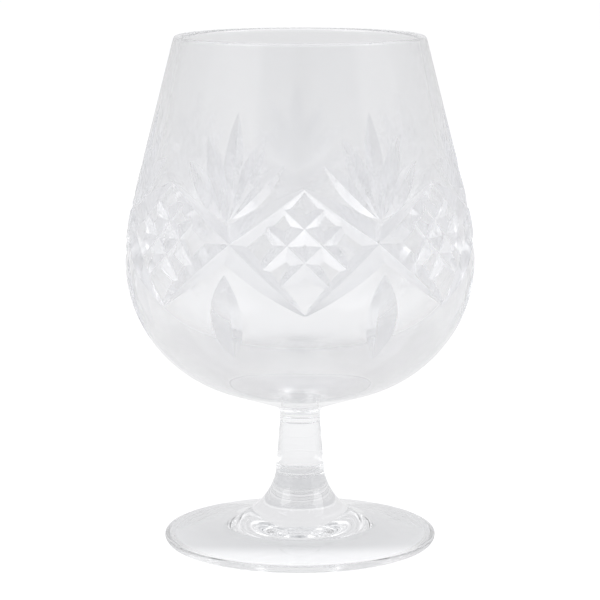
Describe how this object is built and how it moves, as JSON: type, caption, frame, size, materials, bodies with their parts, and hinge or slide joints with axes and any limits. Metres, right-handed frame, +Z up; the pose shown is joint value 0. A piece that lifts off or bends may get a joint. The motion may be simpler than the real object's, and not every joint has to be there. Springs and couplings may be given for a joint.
{
  "type": "brandy snifter",
  "caption": "Short-stemmed cut crystal glass for brandy: a wide bowl that narrows to the lip, with a wheel-cut belt of diamonds and fans, on a low solid stem and a round foot.",
  "frame": {"origin": "on the glass's axis, in the plane that the foot stands on: the middle of the bottom of the bounding box", "axes": "+Z up along the axis of bowl, stem and foot; the middle of one cut diamond faces -Y"},
  "size_m": [0.0886, 0.0886, 0.13],
  "materials": {
    "crystal": "clear lead crystal, fire polished, with acid-polished wheel cuts"
  },
  "bodies": {
    "root": {"bowl": "crystal", "stem": "crystal", "foot": "crystal"}
  },
  "joints": []
}
